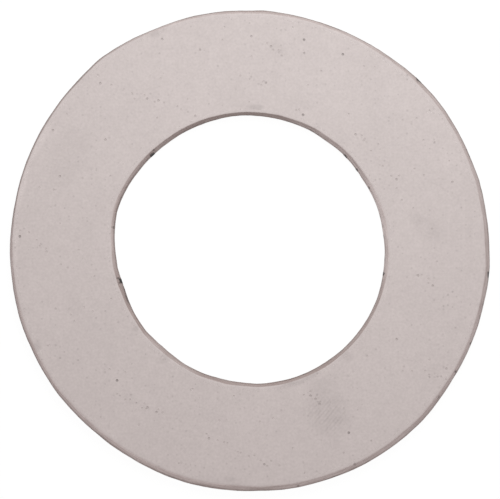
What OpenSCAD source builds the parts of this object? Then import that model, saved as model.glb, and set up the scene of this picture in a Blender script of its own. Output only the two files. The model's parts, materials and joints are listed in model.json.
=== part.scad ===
// Flat ring gasket, cut in one piece from a sheet of pale rubber.
// The blade goes in through the upper face. Each cut wall has an upright land at its foot,
// and above the land it leans back to a soft upper edge, so the upper face is the narrower one.
// The lower face lies on z = 0 and the bore runs along z.

/* [Ring] */
// Outside diameter, across the land at the foot of the rim
outer_d = 85.7; // [70:0.1:160]
// Bore diameter, across the land at the foot of the bore wall
bore_d = 47.6; // [20:0.1:58]
// Thickness of the sheet
thickness = 3.2; // [2.4:0.1:8]

/* [Cut walls] */
// Height of the upright land at the foot of both walls
land_h = 1.0; // [0.4:0.1:1.4]
// How far each wall leans back from its land to the upper face
wall_lean = 0.6; // [0.2:0.05:1]
// Radius of the soft upper edges
edge_r = 0.3; // [0.1:0.05:0.5]

/* [Hidden] */
$fn = 180;

rim_r = outer_d / 2;
bore_r = bore_d / 2;

// Steepness of the leaning part of a wall, from level
wall_angle = atan2(thickness - land_h, wall_lean);
// Centre of the soft edge, from the foot of the land: edge_r inside both the wall and the face
edge_centre = [wall_lean + edge_r * tan(wall_angle / 2), thickness - edge_r];
// Straight runs that make up the soft edge
edge_steps = 8;

// One cut wall from its foot up to the face, with x counted from the land into the rubber
wall = concat(
    [[0, 0], [0, land_h]],
    [for (i = [0:edge_steps])
        let (turn = wall_angle * (1 - i / edge_steps))
        edge_centre + edge_r * [-sin(turn), cos(turn)]]
);

// Section through the ring: up the bore wall, across the face and down the rim
section = concat(
    [for (p = wall) [bore_r + p.x, p.y]],
    [for (i = [len(wall) - 1:-1:0]) [rim_r - wall[i].x, wall[i].y]]
);

module gasket_ring() {
    color([0.79, 0.75, 0.74])
        rotate_extrude()
            polygon(section);
}

gasket_ring();
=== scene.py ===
"""Looks of the flat ring gasket: a hand-cut ring of pale rubber on a white table."""
import json
import math
import random

import bmesh
import bpy
from mathutils import Matrix, Vector, noise
from mathutils.kdtree import KDTree


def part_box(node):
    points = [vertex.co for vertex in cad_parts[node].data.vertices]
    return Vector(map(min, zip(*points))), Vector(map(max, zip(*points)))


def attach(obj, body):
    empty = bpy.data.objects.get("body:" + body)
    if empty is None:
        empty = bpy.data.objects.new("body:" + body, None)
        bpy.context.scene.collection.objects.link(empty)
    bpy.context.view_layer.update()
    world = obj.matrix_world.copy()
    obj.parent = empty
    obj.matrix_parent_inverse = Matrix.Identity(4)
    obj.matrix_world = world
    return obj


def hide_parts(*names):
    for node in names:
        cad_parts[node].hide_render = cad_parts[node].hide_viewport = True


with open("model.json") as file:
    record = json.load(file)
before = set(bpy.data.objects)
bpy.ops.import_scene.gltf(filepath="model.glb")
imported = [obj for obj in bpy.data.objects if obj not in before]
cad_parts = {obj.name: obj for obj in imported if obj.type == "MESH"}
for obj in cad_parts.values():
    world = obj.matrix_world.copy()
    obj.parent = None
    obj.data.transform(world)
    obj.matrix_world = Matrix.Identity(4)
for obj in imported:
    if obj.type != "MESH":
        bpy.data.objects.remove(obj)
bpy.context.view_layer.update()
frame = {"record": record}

MM = 0.001

# Sizes of the ring, from the frame
ring_low, ring_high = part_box("gasket_ring")
mounts = {mount["name"]: mount for mount in frame["record"]["mounts"]}
BORE_R = mounts["bore"]["dims"]["r_mm"] * MM
RIM_R = mounts["rim"]["dims"]["r_mm"] * MM
LAND_H = mounts["rim"]["dims"]["length_mm"] * MM
THICK = ring_high.z

# The two cut walls: radius at the foot, and which way the rubber lies.
# Then the radius between them, and how far into the face a wall's stray is felt.
WALL_FEET = {"rim": (RIM_R, -1), "bore": (BORE_R, 1)}
MIDDLE_R = (BORE_R + RIM_R) / 2
FADE = 5 * MM

# Section of the ring, the turn in degrees that counts as a sharp edge, and the mesh's fineness
MEAN_LEAN = 0.68 * MM
SOFT_EDGE = 0.15 * MM
SHARP_TURN = 38
QUARTER_STEPS = 180
FACE_CELL = 0.4 * MM
WALL_CELL = 0.22 * MM
BASE_CELL = 1.4 * MM

# Where the knife strayed from a true circle at the foot of each wall:
# degrees anticlockwise from +X, mm outward
RIM_STRAY = (
    (0, -0.26), (2, -0.30), (8, -0.28), (12, -0.34), (17, -0.16), (20, -0.25), (28, -0.23),
    (36, -0.11), (46, -0.12), (51, -0.28), (62, -0.38), (74, -0.31), (83, -0.10), (87, 0.01),
    (91, -0.10), (96, 0.05), (105, 0.15), (112, 0.08), (121, 0.31), (128, 0.56), (132, 0.35),
    (135, 0.25), (150, 0.0), (158, -0.06), (168, -0.27), (177, -0.20), (187, -0.28), (195, -0.19),
    (209, -0.33), (217, -0.27), (223, -0.41), (230, -0.44), (236, -0.42), (240, -0.36),
    (256, -0.07), (266, -0.14), (272, -0.10), (281, 0.09), (292, 0.16), (298, 0.25), (316, 0.21),
    (321, 0.0), (328, -0.13), (335, -0.16), (341, -0.12), (346, -0.19), (351, -0.16), (356, -0.08),
)
BORE_STRAY = (
    (0, 0.23), (6, 0.06), (12, 0.12), (18, 0.15), (27, 0.06), (33, -0.07), (42, 0.08), (57, 0.0),
    (64, 0.13), (68, 0.13), (76, 0.17), (90, 0.33), (99, 0.36), (104, 0.27), (116, 0.34),
    (128, 0.31), (133, 0.32), (138, 0.40), (152, 0.67), (158, 0.78), (164, 0.81), (176, 0.23),
    (180, 0.08), (187, -0.10), (192, -0.40), (197, -0.57), (200, -0.58), (208, -0.49), (218, -0.50),
    (221, -0.65), (224, -0.73), (228, -0.80), (240, -0.56), (250, -0.45), (256, -0.46),
    (266, -0.35), (270, -0.22), (273, -0.09), (286, 0.07), (304, 0.20), (322, 0.34), (340, 0.36),
    (348, 0.25), (352, 0.23),
)

# How far each wall leans back between its land and the upper face: degrees, mm
RIM_LEAN = (
    (0, 0.80), (15, 0.86), (30, 0.76), (45, 0.90), (53, 0.78), (60, 0.77), (75, 0.74), (90, 0.85),
    (120, 0.54), (150, 0.47), (165, 0.37), (172, 0.42), (180, 0.60), (187, 0.60), (196, 0.74),
    (210, 0.82), (225, 0.93), (240, 1.02), (258, 1.00), (270, 0.90), (278, 0.80), (288, 0.82),
    (306, 0.80), (315, 0.84), (325, 0.73), (340, 0.79),
)
BORE_LEAN = (
    (0, 0.80), (8, 0.86), (30, 0.74), (45, 0.65), (60, 0.70), (65, 0.57), (72, 0.50), (77, 0.54),
    (81, 0.45), (90, 0.36), (98, 0.35), (105, 0.51), (120, 0.56), (125, 0.51), (130, 0.60),
    (135, 0.70), (150, 0.73), (165, 0.84), (180, 0.76), (195, 0.96), (210, 0.74), (216, 0.76),
    (225, 1.04), (240, 0.76), (255, 0.90), (262, 1.02), (270, 0.82), (285, 0.84), (300, 0.86),
    (315, 0.78), (330, 0.72), (345, 0.74), (354, 0.86),
)

# How each wall bends over towards the upper face:
# degrees, 0 for a straight lean to 1 for a round shoulder
RIM_SHOULDER = (
    (0, 0.2), (30, 0.5), (45, 0.6), (90, 0.6), (180, 0.5), (210, 0.9), (240, 0.8), (270, 0.7),
    (300, 0.3), (330, 0.6),
)
BORE_SHOULDER = (
    (0, 0.4), (45, 0.3), (135, 0.4), (150, 1.0), (180, 0.9), (195, 0.4), (210, 0.8), (240, 0.6),
    (270, 0.9), (300, 0.4), (330, 0.4), (345, 0.6),
)

# How much darker each wall gets at its foot: degrees, share. This is painted shade in the crease where
# the wall starts to lean, with dirt there
RIM_FOOT = (
    (0, 0.3), (30, 0.45), (60, 0.4), (75, 0.6), (90, 0.55), (120, 0.75), (135, 0.9), (150, 0.7),
    (165, 0.75), (172, 0.5), (180, 0.22), (186, 0.5), (200, 0.6), (209, 0.5), (217, 0.65),
    (223, 0.42), (232, 0.62), (240, 0.35), (246, 0.52), (252, 0.45), (258, 0.62), (266, 0.35),
    (272, 0.75), (277, 0.32), (284, 0.4), (300, 0.4), (310, 0.3), (316, 0.5), (324, 0.3),
    (334, 0.25), (342, 0.4), (350, 0.25),
)
BORE_FOOT = (
    (0, 0.4), (8, 0.05), (18, 0.2), (26, 0.15), (34, 0.42), (45, 0.25), (60, 0.2), (75, 0.15),
    (92, 0.3), (105, 0.3), (120, 0.42), (132, 0.12), (140, 0.35), (150, 0.55), (170, 0.45),
    (180, 0.5), (195, 0.3), (210, 0.55), (225, 0.25), (232, 0.35), (240, 0.25), (250, 0.6),
    (262, 0.35), (270, 0.45), (280, 0.5), (287, 0.8), (302, 0.35), (318, 0.45), (330, 0.32),
    (346, 0.3), (354, 0.05),
)

# How light each wall is against the face: degrees, share. Besides the cut's own stain, it holds painted
# light and shade by the way each stretch of wall faces
RIM_TONE = (
    (0, 0.88), (30, 0.83), (45, 0.80), (60, 0.87), (80, 0.78), (90, 0.80), (110, 0.94), (124, 0.78),
    (130, 0.58), (137, 0.68), (150, 0.70), (165, 0.62), (172, 0.80), (180, 0.94), (195, 1.05),
    (225, 1.13), (255, 1.1), (270, 1.05), (277, 1.08), (300, 1.02), (330, 1.0), (345, 0.97),
)
BORE_TONE = (
    (0, 1.0), (8, 1.2), (15, 1.2), (30, 1.12), (45, 0.95), (60, 0.88), (75, 0.63), (82, 0.54),
    (90, 0.50), (120, 0.57), (132, 0.66), (140, 0.62), (150, 0.76), (168, 0.77), (174, 0.84),
    (182, 0.70), (195, 0.54), (210, 0.58), (225, 0.66), (232, 0.58), (240, 0.66), (249, 0.57),
    (262, 0.63), (270, 0.56), (285, 0.54), (300, 0.54), (315, 0.60), (330, 0.64), (345, 0.74),
    (353, 1.0),
)

# A second, fainter dark line high on each wall: degrees, darkness
RIM_HIGH_LINE = (
    (0, 0.08), (20, 0), (270, 0), (285, 0.06), (300, 0.06), (315, 0.03), (330, 0.02), (345, 0.02),
)
BORE_HIGH_LINE = (
    (0, 0), (30, 0.02), (45, 0.10), (60, 0.12), (75, 0.06), (90, 0), (105, 0), (120, 0.06),
    (135, 0.04), (150, 0),
)

# Pores in the upper face that stand out, by width: x and y in mm
DEEP_PORES = (
    (-23.5, -23.2), (9.7, 37.4), (16.6, 34.8), (9.5, 24.0), (-40.8, 2.4), (17.6, -32.5),
)
OPEN_PORES = (
    (3.8, 36.2), (18.8, 20.5), (29.9, -4.6), (-15.5, 37.4), (-16.5, -28.8), (-26.4, 29.5),
    (-8.8, 35.6), (-18.2, 26.9), (0.3, 38.0), (9.7, 35.0), (35.0, -21.2), (-25.6, 19.6),
    (-9.6, 23.7), (26.1, -15.9), (2.6, -38.1), (2.9, 29.7), (26.1, 12.5), (32.5, -6.4),
    (12.4, -27.4), (-7.2, -33.5), (-16.2, 26.6), (-33.7, 13.1), (-34.8, 21.2), (11.7, -26.5),
    (10.8, -25.9), (-18.1, -28.0), (36.0, 12.0),
)

# Trails of fine pores, along the way the sheet was rolled: both ends in mm, how many pores.
# Then the spread of a trail in mm, how many fine pores lie anywhere between two radii in mm,
# and the seed that places them.
PORE_TRAILS = (
    ((-27.5, 30.5), (-9.8, 23.8), 12), ((-23.6, -25.6), (-15.4, -29.2), 14),
    ((-40.5, 3.4), (-35.2, -0.9), 9), ((26.7, -20.7), (35.6, -23.4), 9), ((-1.7, 30.9), (3.2, 29.9), 5),
    ((3.2, 36.5), (5.7, 34.7), 6), ((9.8, -25.3), (12.9, -27.3), 5), ((-7.6, -33.0), (5.0, -39.0), 14),
    ((8.0, 25.6), (10.0, 23.8), 4), ((18.7, 21.5), (26.7, 10.8), 6), ((29.4, -4.1), (33.5, -6.8), 3),
)
TRAIL_SPREAD = 0.4
STRAY_PORES = 60
STRAY_RADII = (26, 41)
PORE_SEED = 7

# The way the sheet was rolled, in degrees
ROLL_TURN = -27

# Width, depth and darkness of each kind of pore, then the lip round a pore and the fine faces round it.
# The darkness is painted shade in the pit, with dirt
DEEP_PORE = (0.48 * MM, 0.14 * MM, 0.33)
OPEN_PORE = (0.44 * MM, 0.09 * MM, 0.16)
FINE_PORE = (0.36 * MM, 0.05 * MM, 0.085)
PORE_LIP = 0.03 * MM
PORE_MARGIN = 0.15 * MM

# Tears in the walls: wall, degrees, then in mm the length along the wall, the lowest and highest point,
# below 0 where a tear runs out at the foot, and the depth, below 0 for a burr, and last the darkness,
# which is painted shade and dirt
TEARS = (
    ("bore", 27.6, 0.70, 0.5, 2.0, 0.02, 0.6),
    ("bore", 37.0, 0.90, -1.0, 2.3, -0.05, 0.8),
    ("bore", 44.7, 1.30, -1.0, 2.3, -0.05, 0.75),
    ("bore", 133.8, 0.60, 2.4, 3.15, 0.08, 0.45),
    ("bore", 135.4, 1.30, -1.0, 2.9, -0.04, 1.0),
    ("bore", 170.6, 0.60, 0.8, 3.15, 0.08, 0.4),
    ("bore", 192.1, 0.45, 1.6, 3.1, 0.10, 0.6),
    ("bore", 193.4, 1.30, -1.0, 3.0, -0.04, 1.0),
    ("bore", 194.2, 0.40, 1.4, 2.9, 0.10, 0.4),
    ("bore", 197.8, 1.60, 0.6, 1.9, 0.06, 0.65),
    ("bore", 201.6, 2.80, 0.6, 2.5, 0.06, 0.5),
    ("bore", 350.0, 0.90, -1.0, 2.6, -0.03, 0.85),
    ("rim", 45.2, 1.90, -1.0, 2.8, -0.04, 0.85),
    ("rim", 281.6, 0.60, 0.8, 2.8, 0.10, 0.3),
    ("rim", 296.1, 0.60, 2.5, 3.3, 0.06, 0.3),
    ("rim", 322.2, 0.50, 1.9, 2.9, 0.06, 0.4),
    ("rim", 329.4, 0.60, 1.6, 2.9, 0.12, 0.5),
    ("rim", 337.0, 0.50, 1.2, 2.4, 0.08, 0.4),
    ("rim", 347.0, 0.60, 0.4, 1.9, 0.08, 0.5),
    ("rim", 354.2, 1.40, 0.4, 2.1, 0.08, 1.0),
)

# Shares of a tear's size: how ragged its edge is, where it starts to fade and ends,
# and how far the fine faces reach
TEAR_RAG = 0.35
TEAR_FADE = (0.55, 1.05)
TEAR_FINE = 1.25

# Handling marks and a painted highlight on the upper face: x, y, half length, half width in mm, turn in
# degrees, and darkness, below 0 where the face is made paler, which along the left rim's edge is a
# painted highlight
SMUDGES_AND_HIGHLIGHT = (
    (29.4, 5.8, 2.0, 1.4, -35, 0.045), (31.8, 3.7, 4.2, 2.4, -35, 0.065),
    (13.9, -28.4, 6.8, 4.8, -60, 0.052), (-32.2, 16.3, 7.6, 4.8, 75, 0.035),
    (-16.9, 38.6, 1.6, 1.0, 10, 0.10), (1.0, 25.4, 2.2, 0.7, 0, 0.13),
    (-2.2, 25.7, 2.2, 0.5, 5, 0.05), (-15.2, -19.2, 1.7, 1.1, 40, 0.08),
    (17.3, -18.9, 1.6, 1.1, -40, 0.07), (8.9, -23.0, 5.0, 1.1, 21, 0.13),
    (-37.8, -17.2, 1.2, 1.2, 0, 0.10), (-3.5, -40.7, 1.6, 0.8, 0, 0.06),
    (39.0, 1.9, 4.5, 1.0, 85, 0.015), (-20.2, -14.0, 0.9, 0.7, 50, 0.07),
    (5.0, 35.6, 2.2, 1.6, -30, 0.05), (-31.2, -9.5, 4.2, 2.2, -70, 0.02),
    (10.0, 26.0, 2.4, 1.4, -20, 0.03), (34.0, 20.0, 7.0, 5.0, -60, -0.02),
    # The marks below 0 on this line and the next lie along the left rim's edge: a painted highlight
    (-36.9, 19.6, 5.5, 0.9, 62, -0.06), (-40.5, 10.8, 6.5, 0.9, 75, -0.07),
    (-41.5, 0, 5.5, 0.5, 90, -0.04), (-5.5, -40.9, 6.0, 1.0, -8, 0.035),
    (-21.5, -25.8, 2.6, 1.6, -60, 0.035), (13.2, -23.8, 4.0, 2.0, 28, 0.045),
    (15.1, -34.4, 2.0, 1.5, 0, 0.03), (28.0, 27.0, 8.0, 4.0, -45, -0.02),
    (36.0, 14.5, 5.0, 2.5, -70, -0.02),
)

# A thumb mark: its middle, its half length and half width, the way its ridges run and their spacing
THUMB_AT = (13.9 * MM, -29.3 * MM)
THUMB_HALF = (4.2 * MM, 5.4 * MM)
THUMB_TURN = 50
RIDGE_PITCH = 0.58 * MM


def between(knots, degrees):
    """Value at an angle, on straight runs between (angle, value) knots that go once round."""
    closed = (*knots, (knots[0][0] + 360, knots[0][1]))
    for (start, a), (end, b) in zip(closed, closed[1:]):
        if start <= degrees <= end:
            return a + (b - a) * (degrees - start) / (end - start)


def smooth_step(low, high, value):
    """0 below low, 1 above high, with an even curve between."""
    share = min(1, max(0, (value - low) / (high - low)))
    return share * share * (3 - 2 * share)


def angle_of(point):
    return math.degrees(math.atan2(point.y, point.x)) % 360


def draw_section(bm):
    """Outline of the ring's section in the XZ plane: feet, lands, leaning walls, soft upper edges."""
    corners = [
        bm.verts.new((radius, 0, height))
        for radius, height in (
            (BORE_R, 0),
            (BORE_R, LAND_H),
            (BORE_R + MEAN_LEAN, THICK),
            (RIM_R - MEAN_LEAN, THICK),
            (RIM_R, LAND_H),
            (RIM_R, 0),
        )
    ]
    for pair in zip(corners, corners[1:] + corners[:1]):
        bm.edges.new(pair)
    bmesh.ops.bevel(
        bm, geom=corners[2:4], affect="VERTICES", offset=SOFT_EDGE, segments=4, profile=0.5,
        material=-1,
    )
    for run in bm.edges[:]:
        heights = sorted(vert.co.z for vert in run.verts)
        cell = WALL_CELL
        if heights[1] == 0:
            cell = BASE_CELL
        elif heights[0] == THICK:
            cell = FACE_CELL
        cuts = int(run.calc_length() / cell)
        if cuts:
            bmesh.ops.subdivide_edges(bm, edges=[run], cuts=cuts)


def turn_section(bm):
    """Turns the section a quarter round the bore's axis, and mirrors the quarter twice."""
    bmesh.ops.spin(
        bm, geom=bm.verts[:] + bm.edges[:], cent=(0, 0, 0), axis=(0, 0, 1),
        angle=math.pi / 2, steps=QUARTER_STEPS,
    )
    for axis in "XY":
        everything = bm.verts[:] + bm.edges[:] + bm.faces[:]
        bmesh.ops.mirror(bm, geom=everything, axis=axis, merge_dist=0.001 * MM)
    bmesh.ops.remove_doubles(bm, verts=bm.verts[:], dist=0.001 * MM)
    bmesh.ops.recalc_face_normals(bm, faces=bm.faces[:])


def mark_cut(bm, cut):
    """Marks the cut walls, for the material to tell them from the two faces."""
    for vert in bm.verts:
        radius = vert.co.xy.length
        from_wall = min(radius - BORE_R, RIM_R - radius)
        below_face = smooth_step(0, 0.12 * MM, THICK - vert.co.z)
        vert[cut] = below_face * (from_wall < MEAN_LEAN)


def refine(bm, faces):
    """Splits faces into a finer grid, for a small form in the surface."""
    edges = list(dict.fromkeys(edge for face in faces for edge in face.edges))
    bmesh.ops.subdivide_edges(bm, edges=edges, cuts=2, use_grid_fill=True)


def press_in(bm, patch, lip, depth, shade_and_dirt, darkness):
    """Presses a patch of faces into the rubber, with a sloping lip, and darkens it with painted shade
    and dirt.
    """
    bmesh.ops.inset_region(bm, faces=patch, thickness=lip, depth=-depth, use_even_offset=True)
    for face in patch:
        for vert in face.verts:
            vert[shade_and_dirt] = darkness


def upper_patches(bm, pores):
    """For each (spot, reach), the upper faces with their middles within reach of the spot."""
    upper = [face for face in bm.faces if face.normal.z > 0.99]
    middles = KDTree(len(upper))
    for index, face in enumerate(upper):
        middles.insert(face.calc_center_median(), index)
    middles.balance()
    return [[upper[index] for _, index, _ in middles.find_range(spot, reach)] for spot, reach in pores]


def scatter_pores():
    """Every pore as (spot, kind): those that stand out, the fine trails, then fine strays."""
    draw = random.Random(PORE_SEED)
    pores = [(x, y, DEEP_PORE) for x, y in DEEP_PORES]
    pores += [(x, y, OPEN_PORE) for x, y in OPEN_PORES]
    for start, end, count in PORE_TRAILS:
        for step in range(count):
            share = (step + draw.random()) / count
            x = start[0] + share * (end[0] - start[0]) + draw.gauss(0, TRAIL_SPREAD)
            y = start[1] + share * (end[1] - start[1]) + draw.gauss(0, TRAIL_SPREAD)
            pores.append((x, y, FINE_PORE))
    for _ in range(STRAY_PORES):
        radius = draw.uniform(*STRAY_RADII)
        turn = draw.uniform(0, math.tau)
        pores.append((radius * math.cos(turn), radius * math.sin(turn), FINE_PORE))
    return [(Vector((x * MM, y * MM, THICK)), kind) for x, y, kind in pores]


def press_pores(bm, shade_and_dirt):
    """Round open pores in the upper face."""
    pores = scatter_pores()
    around = upper_patches(bm, [(spot, width / 2 + PORE_MARGIN) for spot, (width, _, _) in pores])
    refine(bm, [face for patch in around for face in patch])
    patches = upper_patches(bm, [(spot, width / 2) for spot, (width, _, _) in pores])
    taken = set()
    for (spot, (width, depth, darkness)), patch in zip(pores, patches):
        corners = {vert for face in patch for vert in face.verts}
        if not patch or corners & taken:
            continue
        taken |= corners
        inside = set(patch)
        for vert in corners:
            if not inside.issuperset(vert.link_faces):
                out = (vert.co - spot).normalized()
                vert.co = spot + out * width / 2
        press_in(bm, patch, PORE_LIP, depth, shade_and_dirt, darkness)


def from_tear(point, wall, degrees, length, low, high):
    """How far a point lies from the middle of a tear, with 1 at the tear's ragged edge."""
    foot, _ = WALL_FEET[wall]
    if abs(point.xy.length - foot) > 1.2 * MM:
        return math.inf
    off = (angle_of(point) - degrees + 180) % 360 - 180
    along = math.radians(off) * foot / (length * MM / 2)
    up = (2 * point.z / MM - low - high) / (high - low)
    return math.hypot(along, up) + TEAR_RAG * noise.noise(point * 2200)


def tear_walls(bm, shade_and_dirt):
    """Small ragged tears and burrs where the knife stopped, started or dragged, darkened with painted
    shade and dirt.
    """
    for *where, depth, darkness in TEARS:
        refine(bm, [
            face for face in bm.faces if from_tear(face.calc_center_median(), *where) < TEAR_FINE
        ])
        _, inward = WALL_FEET[where[0]]
        for vert in bm.verts:
            share = 1 - smooth_step(*TEAR_FADE, from_tear(vert.co, *where))
            if share:
                outward = Vector((vert.co.x, vert.co.y, 0)).normalized()
                vert.co += outward * inward * share * depth * MM
                vert[shade_and_dirt] = max(vert[shade_and_dirt], share * darkness)


def cut_by_hand(bm, climb, tone):
    """Moves the walls to where the knife went, fading out into the face, with a slight ripple.

    It also keeps, for the material, how far up its wall a point seems from above, and how light
    it is there, with painted light and shade, the cut's own stain, and painted shade and dirt at the
    foot.
    """
    walls = {
        "rim": (RIM_STRAY, RIM_LEAN, RIM_SHOULDER, RIM_TONE, RIM_FOOT, RIM_HIGH_LINE),
        "bore": (BORE_STRAY, BORE_LEAN, BORE_SHOULDER, BORE_TONE, BORE_FOOT, BORE_HIGH_LINE),
    }
    for vert in bm.verts:
        radius = vert.co.xy.length
        wall = "rim" if radius > MIDDLE_R else "bore"
        foot, inward = WALL_FEET[wall]
        share = 1 - smooth_step(MEAN_LEAN, FADE, (radius - foot) * inward)
        degrees = angle_of(vert.co)
        values = [between(knots, degrees) for knots in walls[wall]]
        stray, lean, shoulder, lightness, foot_shade, high_line = values
        rise = min(1, max(0, (vert.co.z - LAND_H) / (THICK - LAND_H)))
        bend = 1 - math.sqrt(1 - rise * rise)
        vert[climb] = rise + shoulder * (bend - rise)
        # The foot's darkening is painted shade in the crease, with dirt
        foot_reach = 0.3 + 0.35 * foot_shade
        above_land = smooth_step(LAND_H / 2, LAND_H, vert.co.z)
        foot_shade *= above_land - smooth_step(0, foot_reach, vert[climb])
        high_line *= smooth_step(0.35, 0.7, vert[climb]) - smooth_step(0.7, 1, vert[climb])
        # The wall's tone holds painted light and shade, with the cut's own stain
        vert[tone] = lightness * (1 - foot_shade) * (1 - high_line)
        back = vert[climb] * lean - rise * MEAN_LEAN / MM
        ripple = noise.noise(vert.co * 900) * 0.025 + noise.noise(vert.co * 260) * 0.06
        outward = Vector((vert.co.x, vert.co.y, 0)) / radius
        vert.co += outward * share * (stray + inward * back + ripple) * MM


def build_ring():
    """The ring as one closed mesh in its place."""
    bm = bmesh.new()
    cut = bm.verts.layers.float.new("cut")
    tone = bm.verts.layers.float.new("tone")
    shade_and_dirt = bm.verts.layers.float.new("shade_and_dirt")
    climb = bm.verts.layers.float.new("climb")
    draw_section(bm)
    turn_section(bm)
    mark_cut(bm, cut)
    press_pores(bm, shade_and_dirt)
    tear_walls(bm, shade_and_dirt)
    cut_by_hand(bm, climb, tone)
    bmesh.ops.recalc_face_normals(bm, faces=bm.faces[:])
    for face in bm.faces:
        face.smooth = True
    for edge in bm.edges:
        edge.smooth = edge.calc_face_angle(0) < math.radians(SHARP_TURN)
    mesh = bpy.data.meshes.new("gasket_ring_hand_cut")
    bm.to_mesh(mesh)
    bm.free()
    ring = bpy.data.objects.new("gasket_ring_hand_cut", mesh)
    bpy.context.scene.collection.objects.link(ring)
    return ring


# Materials

RUBBER = (0.584, 0.521, 0.509, 1)
CUT_RUBBER = (0.75, 0.663, 0.646, 1)
# The dark end of a wall's tone: the cut's own stain, and painted shade on the walls in shade
STAIN_AND_SHADE = (0.10, 0.04, 0.025, 1)
# Near black: painted shade and dirt in the pores, the tears and the crease at a wall's foot
DARK_SHADE_AND_DIRT = (0.02, 0.016, 0.015, 1)


class Nodes:
    """Short calls for making and joining shader nodes."""

    def __init__(self, tree):
        self.tree = tree

    def add(self, kind, settings=None, **inputs):
        node = self.tree.nodes.new(kind)
        for name, value in (settings or {}).items():
            setattr(node, name, value)
        for name, value in inputs.items():
            self.put(node.inputs[name.replace("_", " ")], value)
        return node

    def put(self, socket, value):
        if isinstance(value, bpy.types.NodeSocket):
            self.tree.links.new(value, socket)
        else:
            socket.default_value = value

    def maths(self, operation, a, b=0.0, clamp=False):
        node = self.tree.nodes.new("ShaderNodeMath")
        node.operation = operation
        node.use_clamp = clamp
        self.put(node.inputs[0], a)
        self.put(node.inputs[1], b)
        return node.outputs[0]

    def mix(self, share, a, b, blend="MIX"):
        node = self.tree.nodes.new("ShaderNodeMix")
        node.data_type = "RGBA"
        node.blend_type = blend
        self.put(node.inputs[0], share)
        self.put(node.inputs[6], a)
        self.put(node.inputs[7], b)
        return node.outputs[2]

    def span(self, value, low, high, to_low, to_high, curve="LINEAR"):
        node = self.add(
            "ShaderNodeMapRange", {"interpolation_type": curve},
            Value=value, From_Min=low, From_Max=high, To_Min=to_low, To_Max=to_high,
        )
        return node.outputs["Result"]

    def noise(self, place, size, detail=2.0, roughness=0.5):
        node = self.add(
            "ShaderNodeTexNoise", Vector=place, Scale=1 / size, Detail=detail, Roughness=roughness,
        )
        return node.outputs["Fac"]

    def length(self, vector):
        node = self.tree.nodes.new("ShaderNodeVectorMath")
        node.operation = "LENGTH"
        self.put(node.inputs[0], vector)
        return node.outputs["Value"]

    def spot(self, place, middle, half, turn):
        """Place in a turned oval: its own length reaches 1 at the oval's edge."""
        node = self.add(
            "ShaderNodeMapping", {"vector_type": "TEXTURE"}, Vector=place, Location=(*middle, 0),
            Rotation=(0, 0, math.radians(turn)), Scale=(*half, 1),
        )
        return node.outputs["Vector"]


def marks_and_edge_highlight(n, place):
    """Tone of the smudges, the thumb mark and the painted highlight along the left rim's edge, 1 where
    there are none.
    """
    patchy = n.span(n.noise(place, 1.6 * MM, 2), 0.3, 0.7, 0.65, 1.25)
    tone = 1.0
    for x, y, half_length, half_width, turn, darkness in SMUDGES_AND_HIGHLIGHT:
        oval = n.spot(place, (x * MM, y * MM), (half_length * MM, half_width * MM), turn)
        share = n.span(n.length(oval), 0.35, 1, darkness, 0, "SMOOTHSTEP")
        tone = n.maths("SUBTRACT", tone, n.maths("MULTIPLY", share, patchy))
    in_thumb = n.spot(place, THUMB_AT, THUMB_HALF, THUMB_TURN)
    thumb = n.span(n.length(in_thumb), 0.3, 1, 0.09, 0, "SMOOTHSTEP")
    broken = n.span(n.noise(place, 1.1 * MM, 1), 0.35, 0.65, 0.2, 1.3)
    across = n.spot(place, THUMB_AT, (1, 1), THUMB_TURN + 90)
    ridges = n.add(
        "ShaderNodeTexWave", Vector=across, Scale=math.pi / 10 / RIDGE_PITCH, Distortion=3.5,
        Detail=1.0, Detail_Scale=0.25,
    )
    print_tone = n.maths("MULTIPLY", n.maths("MULTIPLY", thumb, broken), ridges.outputs["Fac"])
    return n.maths("SUBTRACT", tone, print_tone)


def faint_dots(n, place):
    """Tone of the closed pores just under the skin: faint soft dots, one to a cell at most."""
    cells = n.add(
        "ShaderNodeTexVoronoi", {"voronoi_dimensions": "2D"}, Vector=place, Scale=1 / (0.8 * MM),
    )
    lots = n.add("ShaderNodeSeparateColor", Color=cells.outputs["Color"]).outputs
    reach = n.span(lots["Green"], 0, 1, 0.2, 0.42)
    dot = n.span(n.maths("DIVIDE", cells.outputs["Distance"], reach), 0.2, 1, 1, 0, "SMOOTHSTEP")
    rolled = n.spot(place, (0, 0), (4, 1), ROLL_TURN)
    streaks = n.span(n.noise(rolled, 2.5 * MM, 2), 0.35, 0.65, 0.3, 1.3)
    depth = n.maths("MULTIPLY", n.span(lots["Red"], 0.75, 1, 0, 0.16), streaks)
    return n.maths("SUBTRACT", 1.0, n.maths("MULTIPLY", dot, depth))


def drag_marks(n, place, climb):
    """Tone of the streaks in a cut wall, along the way the knife went."""
    spread = n.spot(place, (0, 0), (4 * MM, 4 * MM), 0)
    parts = n.add("ShaderNodeSeparateXYZ", Vector=spread).outputs
    strip = n.add("ShaderNodeCombineXYZ", X=parts["X"], Y=parts["Y"], Z=n.maths("MULTIPLY", climb, 4))
    return n.span(n.noise(strip.outputs["Vector"], 1, 4, 0.6), 0.3, 0.7, 0.77, 1.23)


def crease_dirt_and_shade(n, place, height, climb):
    """Darkness where a cut wall starts to lean: painted shade in the crease, and dirt caught there, in
    specks and runs.
    """
    above = n.span(height, LAND_H / 2, LAND_H, 0, 1, "SMOOTHSTEP")
    below = n.span(climb, 0, 0.35, 1, 0, "SMOOTHSTEP")
    specks = n.span(n.noise(place, 1.1 * MM, 2), 0.5, 0.7, 0, 0.65)
    runs = n.span(n.noise(place, 7 * MM, 1), 0.4, 0.6, 0.3, 1)
    return n.maths("MULTIPLY", n.maths("MULTIPLY", above, below), n.maths("MULTIPLY", specks, runs))


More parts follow.
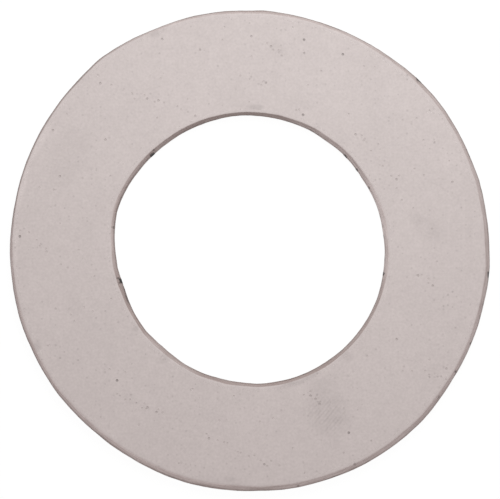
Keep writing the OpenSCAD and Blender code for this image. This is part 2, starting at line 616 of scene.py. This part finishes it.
def pale_rubber():
    """Matte sheet rubber: faint mottling, fine grain, darker cut walls with painted light and shade,
    and pores and tears darkened with painted shade and dirt.
    """
    material = bpy.data.materials.new("pale_rubber")
    material.use_nodes = True
    material.node_tree.nodes.clear()
    n = Nodes(material.node_tree)
    place = n.add("ShaderNodeTexCoord").outputs["Object"]
    cut = n.add("ShaderNodeAttribute", {"attribute_name": "cut"}).outputs["Fac"]
    wall_tone = n.add("ShaderNodeAttribute", {"attribute_name": "tone"}).outputs["Fac"]
    shade_and_dirt = n.add("ShaderNodeAttribute", {"attribute_name": "shade_and_dirt"}).outputs["Fac"]
    climb = n.add("ShaderNodeAttribute", {"attribute_name": "climb"}).outputs["Fac"]

    clouds = n.span(n.noise(place, 9 * MM, 3), 0.3, 0.7, 0.985, 1.015)
    grain = n.span(n.noise(place, 0.45 * MM, 2), 0.3, 0.7, 0.955, 1.045)
    mottle = n.span(n.noise(place, 1.3 * MM, 2), 0.3, 0.7, 0.978, 1.022)
    tone = n.maths("MULTIPLY", n.maths("MULTIPLY", clouds, mottle), grain)
    height = n.add("ShaderNodeSeparateXYZ", Vector=place).outputs["Z"]
    upper_marks = n.span(height, 0, THICK, 1, marks_and_edge_highlight(n, place))
    face_tone = n.maths("MULTIPLY", upper_marks, faint_dots(n, place))
    skin = n.mix(1.0, RUBBER, face_tone, "MULTIPLY")
    # The tone lists paint light and shade onto the cut walls, with the cut's own stain
    lit_and_clean = n.maths("MULTIPLY", wall_tone, drag_marks(n, place, climb))
    wall = n.mix(n.span(lit_and_clean, 0, 1.3, 1, 0), CUT_RUBBER, STAIN_AND_SHADE)
    # Painted shade and dirt in the crease where a wall starts to lean
    wall = n.mix(crease_dirt_and_shade(n, place, height, climb), wall, DARK_SHADE_AND_DIRT)
    colour = n.mix(cut, skin, wall)
    colour = n.mix(1.0, colour, tone, "MULTIPLY")
    # Painted shade and dirt in the pores and tears
    colour = n.mix(shade_and_dirt, colour, DARK_SHADE_AND_DIRT)

    bumps = n.add(
        "ShaderNodeBump", Strength=0.15, Distance=0.02 * MM, Height=n.noise(place, 0.25 * MM, 3, 0.6),
    )
    shader = n.add(
        "ShaderNodeBsdfPrincipled", Base_Color=colour, Roughness=n.span(grain, 0.95, 1.05, 0.58, 0.7),
        Normal=bumps.outputs["Normal"],
    )
    shader.inputs["Specular IOR Level"].default_value = 0.15
    n.add("ShaderNodeOutputMaterial", Surface=shader.outputs["BSDF"])
    return material


def white_table():
    """White where it is seen, with the ring's faint shadow, and pale for the light that it returns."""
    material = bpy.data.materials.new("white_table")
    material.use_nodes = True
    material.node_tree.nodes.clear()
    n = Nodes(material.node_tree)
    path = n.add("ShaderNodeLightPath").outputs
    seen = n.maths("MAXIMUM", path["Is Camera Ray"], path["Is Glossy Ray"])
    seen = n.maths("MAXIMUM", seen, path["Is Transmission Ray"])
    place = n.add("ShaderNodeTexCoord").outputs["Object"]
    near = n.span(n.length(place), 0.08, 0.2, 1, 0, "SMOOTHSTEP")
    plain = n.add("ShaderNodeBsdfDiffuse", Color=(0.82, 0.82, 0.82, 1))
    white = n.add("ShaderNodeEmission", Color=(1, 1, 1, 1), Strength=n.span(near, 0, 1, 1, 0.965))
    shaded = n.add("ShaderNodeBsdfDiffuse", Color=n.span(near, 0, 1, 0, 0.05))
    both = n.add("ShaderNodeAddShader")
    n.put(both.inputs[0], white.outputs[0])
    n.put(both.inputs[1], shaded.outputs[0])
    surface = n.add("ShaderNodeMixShader", Fac=seen)
    n.put(surface.inputs[1], plain.outputs[0])
    n.put(surface.inputs[2], both.outputs[0])
    n.add("ShaderNodeOutputMaterial", Surface=surface.outputs[0])
    return material


# Stage: the even light, the lamp, and the camera, which sees 500 px of 0.17785 mm

FILL_COLOUR = (1, 0.925, 0.917, 1)
FILL_STRENGTH = 0.522
LAMP_COLOUR = (0.94, 1, 1)
LAMP_AT = (0.025, 0.117, 0.2)
LAMP_SIZE = 0.1
LAMP_WATTS = 0.328
PICTURE_WIDTH = 500 * 0.17785 * MM
CAMERA_AIM = (0.04, 0.23, 0)
CAMERA_DISTANCE = 1.5
CAMERA_TILT = 3.2
CAMERA_TURN = 283


def lay_table():
    """A wide table, a hair below the ring."""
    bm = bmesh.new()
    bmesh.ops.create_grid(bm, x_segments=1, y_segments=1, size=3)
    bmesh.ops.translate(bm, verts=bm.verts[:], vec=(0, 0, -0.02 * MM))
    mesh = bpy.data.meshes.new("table")
    bm.to_mesh(mesh)
    bm.free()
    table = bpy.data.objects.new("table", mesh)
    table.data.materials.append(white_table())
    bpy.context.scene.collection.objects.link(table)


def light_world():
    """Even light all round, and plain white behind everything."""
    world = bpy.data.worlds.new("studio")
    bpy.context.scene.world = world
    world.use_nodes = True
    world.node_tree.nodes.clear()
    n = Nodes(world.node_tree)
    path = n.add("ShaderNodeLightPath").outputs
    seen = n.maths("MAXIMUM", path["Is Camera Ray"], path["Is Transmission Ray"])
    fill = n.add("ShaderNodeBackground", Color=FILL_COLOUR, Strength=FILL_STRENGTH)
    white = n.add("ShaderNodeBackground", Color=(1, 1, 1, 1), Strength=1)
    surface = n.add("ShaderNodeMixShader", Fac=seen)
    n.put(surface.inputs[1], fill.outputs[0])
    n.put(surface.inputs[2], white.outputs[0])
    n.add("ShaderNodeOutputWorld", Surface=surface.outputs[0])


def hang_lamp(name, place, size, watts):
    """A square soft lamp that faces the middle of the ring, and that no view shows."""
    data = bpy.data.lights.new(name, "AREA")
    data.shape = "SQUARE"
    data.size = size
    data.energy = watts
    data.color = LAMP_COLOUR
    lamp = bpy.data.objects.new(name, data)
    lamp.location = place
    lamp.rotation_euler = (-Vector(place)).to_track_quat("-Z", "Y").to_euler()
    lamp.visible_camera = False
    bpy.context.scene.collection.objects.link(lamp)


def set_camera():
    """Looks down from 1.5 m, a little from the near side, with +Y up in the picture."""
    aim = Vector(CAMERA_AIM) * MM
    tilt = math.radians(CAMERA_TILT)
    turn = math.radians(CAMERA_TURN)
    back = Vector((math.sin(tilt) * math.cos(turn), math.sin(tilt) * math.sin(turn), math.cos(tilt)))
    data = bpy.data.cameras.new("camera")
    data.sensor_width = 36
    data.lens = data.sensor_width * CAMERA_DISTANCE / PICTURE_WIDTH
    camera = bpy.data.objects.new("camera", data)
    right = Vector((0, 1, 0)).cross(back).normalized()
    turned = Matrix((right, back.cross(right), back)).transposed()
    camera.matrix_world = Matrix.Translation(aim + back * CAMERA_DISTANCE) @ turned.to_4x4()
    bpy.context.scene.collection.objects.link(camera)
    bpy.context.scene.camera = camera


ring = build_ring()
ring.data.materials.append(pale_rubber())
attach(ring, "root")
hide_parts("gasket_ring")

lay_table()
light_world()
hang_lamp("key", LAMP_AT, LAMP_SIZE, LAMP_WATTS)
set_camera()
bpy.context.scene.view_settings.view_transform = "Standard"
